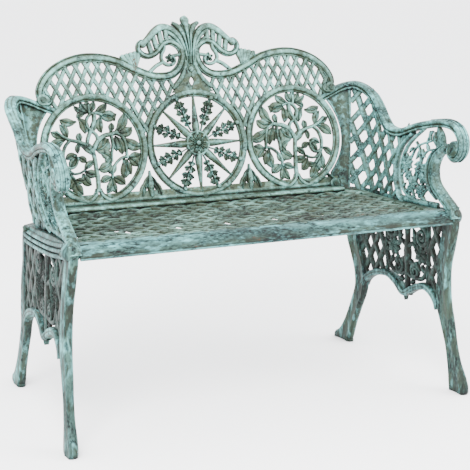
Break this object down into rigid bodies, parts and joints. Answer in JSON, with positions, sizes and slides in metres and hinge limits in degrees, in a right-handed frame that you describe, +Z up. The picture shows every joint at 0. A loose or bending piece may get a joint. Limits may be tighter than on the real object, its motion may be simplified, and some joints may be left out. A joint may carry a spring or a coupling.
{
  "type": "garden bench",
  "caption": "Two-seat cast-iron garden bench with a pierced medallion back, rolled arms, lattice seat and cabriole legs.",
  "frame": {"origin": "on the ground, midway between the two ends and midway between the front toes and the rear toes", "axes": "+X along the bench, +Y to the back, +Z up"},
  "size_m": [1.05, 0.6, 0.9178],
  "materials": {
    "verdigris_iron": "aged verdigris paint over cast iron, satin, worn dark on the high and rubbed places",
    "fastener_steel": "painted over and rusted at the edges"
  },
  "bodies": {
    "root": {"back_casting": "verdigris_iron", "seat_casting": "verdigris_iron", "left_end_casting": "verdigris_iron", "right_end_casting": "verdigris_iron", "left_back_upper_bolt": "fastener_steel", "left_back_upper_washer": "fastener_steel", "left_back_upper_nut": "fastener_steel", "left_back_lower_bolt": "fastener_steel", "left_back_lower_washer": "fastener_steel", "left_back_lower_nut": "fastener_steel", "left_seat_front_bolt": "fastener_steel", "left_seat_front_washer": "fastener_steel", "left_seat_front_nut": "fastener_steel", "left_seat_rear_bolt": "fastener_steel", "left_seat_rear_washer": "fastener_steel", "left_seat_rear_nut": "fastener_steel", "right_back_upper_bolt": "fastener_steel", "right_back_upper_washer": "fastener_steel", "right_back_upper_nut": "fastener_steel", "right_back_lower_bolt": "fastener_steel", "right_back_lower_washer": "fastener_steel", "right_back_lower_nut": "fastener_steel", "right_seat_front_bolt": "fastener_steel", "right_seat_front_washer": "fastener_steel", "right_seat_front_nut": "fastener_steel", "right_seat_rear_bolt": "fastener_steel", "right_seat_rear_washer": "fastener_steel", "right_seat_rear_nut": "fastener_steel", "centre_bolt": "fastener_steel", "centre_washer": "fastener_steel", "centre_nut": "fastener_steel"}
  },
  "joints": []
}
